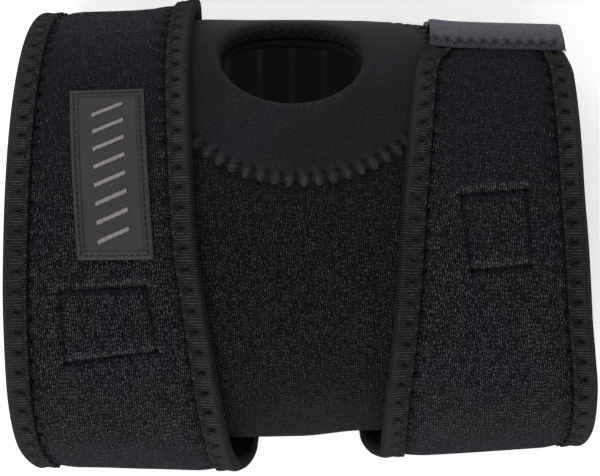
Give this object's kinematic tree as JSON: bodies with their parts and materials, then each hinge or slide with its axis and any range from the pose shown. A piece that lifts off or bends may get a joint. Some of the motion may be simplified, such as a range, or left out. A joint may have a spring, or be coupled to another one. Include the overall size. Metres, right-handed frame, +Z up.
{
  "type": "neoprene knee support",
  "caption": "Short neoprene knee sleeve with an open kneecap hole and wide wrap straps edged with ribbed tape, lying on its side.",
  "frame": {"origin": "middle of the underside that it rests on", "axes": "+X along the leg from thigh to calf, +Y towards the kneecap side, +Z up from the resting side"},
  "size_m": [0.1956, 0.1688, 0.1065],
  "materials": {
    "loop_knit": "black loop knit over foam",
    "smooth_knit": "smooth charcoal jersey over foam",
    "edge_tape": "ribbed woven tape",
    "hook_tape": "blue-grey twill hook tape",
    "badge_rubber": "matt moulded rubber"
  },
  "bodies": {
    "root": {"sleeve_body": "loop_knit", "patella_panel": "smooth_knit", "patella_ring": "smooth_knit", "thigh_strap": "loop_knit", "calf_strap": "loop_knit", "thigh_outer_binding": "edge_tape", "thigh_inner_binding": "edge_tape", "calf_inner_binding": "edge_tape", "calf_outer_binding": "edge_tape", "calf_hook_tab": "hook_tape", "thigh_hook_tab": "hook_tape", "label_badge": "badge_rubber"}
  },
  "joints": []
}
